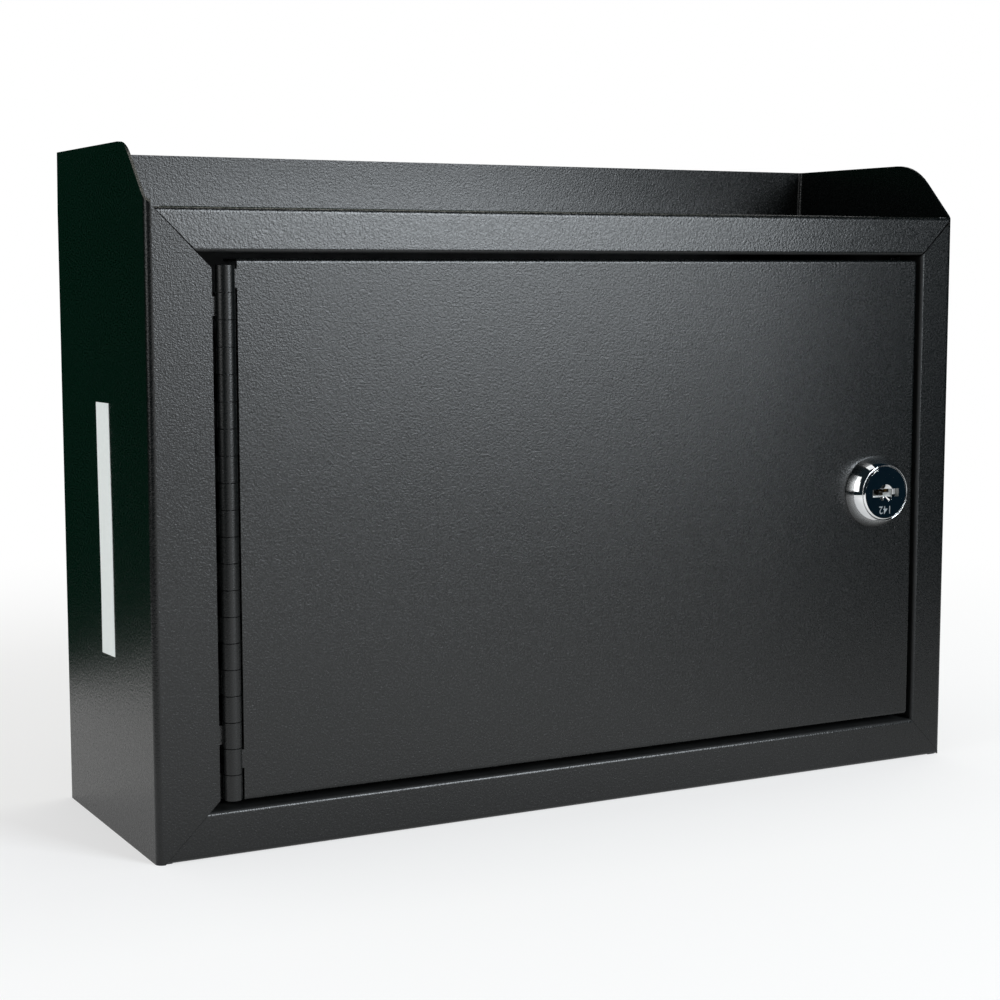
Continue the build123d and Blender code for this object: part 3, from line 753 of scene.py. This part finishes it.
def makeWorld():
    # the camera, mirrors and glass see white, and the box is lit more softly
    world = bpy.data.worlds.new("studioWorld")
    bpy.context.scene.world = world
    world.use_nodes = True
    nodes, links = world.node_tree.nodes, world.node_tree.links
    ambient = nodes["Background"]
    ambient.inputs["Color"].default_value = studio["white"]
    ambient.inputs["Strength"].default_value = studio["ambient"]
    white = addNode(world, "ShaderNodeBackground", {"Color": studio["white"]}).outputs[0]
    path = addNode(world, "ShaderNodeLightPath", {}).outputs
    seen = path["Is Camera Ray"]
    for ray in ("Is Glossy Ray", "Is Transmission Ray"):
        seen = addNode(world, "ShaderNodeMath", {0: seen, 1: path[ray]}, operation="MAXIMUM").outputs[0]
    mixed = addNode(world, "ShaderNodeMixShader", {0: seen, 1: ambient.outputs[0], 2: white}).outputs[0]
    links.new(mixed, nodes["World Output"].inputs["Surface"])


def addLamp(name, place, facing, width, height, glow, tint):
    lampData = bpy.data.lights.new(name, "AREA")
    lampData.shape = "RECTANGLE"
    lampData.size, lampData.size_y = width, height
    lampData.energy = glow * width * height * math.pi
    lampData.color = tint
    lamp = bpy.data.objects.new(name, lampData)
    bpy.context.scene.collection.objects.link(lamp)
    lamp.location = place
    lamp.rotation_euler = Vector(facing).to_track_quat("-Z", "Y").to_euler()
    lamp.visible_camera = False


def addSoftboxes():
    for name, box in studio["softboxes"].items():
        angle = math.radians(box["direction"])
        towards = Vector((math.sin(angle), -math.cos(angle), 0))
        place = towards * box["distance"] + Vector((0, 0, (box["low"] + box["high"]) / 2))
        addLamp(name, place, -towards, box["width"], box["high"] - box["low"], box["glow"], box["tint"])
    top = studio["overhead"]
    addLamp("overhead", top["place"], (0, 0, -1), top["width"], top["depth"], top["glow"], top["tint"])


def addCard(name, place, rotation, size, colour):
    # only reflections see a card
    clearSelection()
    bpy.ops.mesh.primitive_plane_add(size=1, location=place, rotation=rotation)
    flag = named(name)
    flag.scale = size + (1,)
    settle(flag)
    material = bpy.data.materials.new(name)
    material.use_nodes = True
    nodes = material.node_tree.nodes
    nodes.remove(nodes["Principled BSDF"])
    glow = addNode(material, "ShaderNodeEmission", {"Color": toLinear(colour), "Strength": 1.0})
    material.node_tree.links.new(glow.outputs[0], nodes["Material Output"].inputs["Surface"])
    flag.data.materials.append(material)
    for ray in ("camera", "diffuse", "transmission", "volume_scatter", "shadow"):
        setattr(flag, "visible_" + ray, False)


def addCards():
    for name, card in studio["cards"].items():
        start, end = Vector(card["from"]), Vector(card["to"])
        along, middle = end - start, (start + end) / 2
        turn = math.atan2(along.y, along.x)
        addCard(name, (middle.x, middle.y, card["high"] / 2), (math.radians(90), 0, turn),
                (along.length, card["high"]), card["colour"])
    ceiling = studio["ceiling"]
    addCard("ceiling", ceiling["middle"], (0, 0, 0), (ceiling["size"], ceiling["size"]), ceiling["colour"])
    side = studio["whiteCardSize"]
    for name, place in studio["whiteCards"].items():
        addCard(name, place, (0, 0, 0), (side, side), studio["whiteCardColour"])


def addFloor():
    clearSelection()
    bpy.ops.mesh.primitive_plane_add(size=studio["floor"]["size"], location=(0, 0, 0))
    floor = named("floor")
    floor.data.materials.append(makeFloorMaterial())


addFloor()
makeWorld()
addSoftboxes()
addCards()
print("studio done")

# The camera stands where the photo was taken from: yaw to the right of straight back, pitch down
view = {"place": (-0.3957, -0.7191, 0.2090), "yaw": 28.137, "pitch": 6.523, "roll": -0.018,
        "lens": 72.34, "sensor": 36, "clipStart": 0.01}
cameraData = bpy.data.cameras.new("camera")
cameraData.lens = view["lens"]
cameraData.sensor_width = view["sensor"]
cameraData.clip_start = view["clipStart"]
camera = bpy.data.objects.new("camera", cameraData)
bpy.context.scene.collection.objects.link(camera)
camera.matrix_world = (Matrix.Translation(view["place"])
                       @ Matrix.Rotation(math.radians(-view["yaw"]), 4, "Z")
                       @ Matrix.Rotation(math.radians(90 - view["pitch"]), 4, "X")
                       @ Matrix.Rotation(math.radians(view["roll"]), 4, "Z"))
bpy.context.scene.camera = camera
bpy.context.scene.view_settings.view_transform = "Standard"

clearSelection()
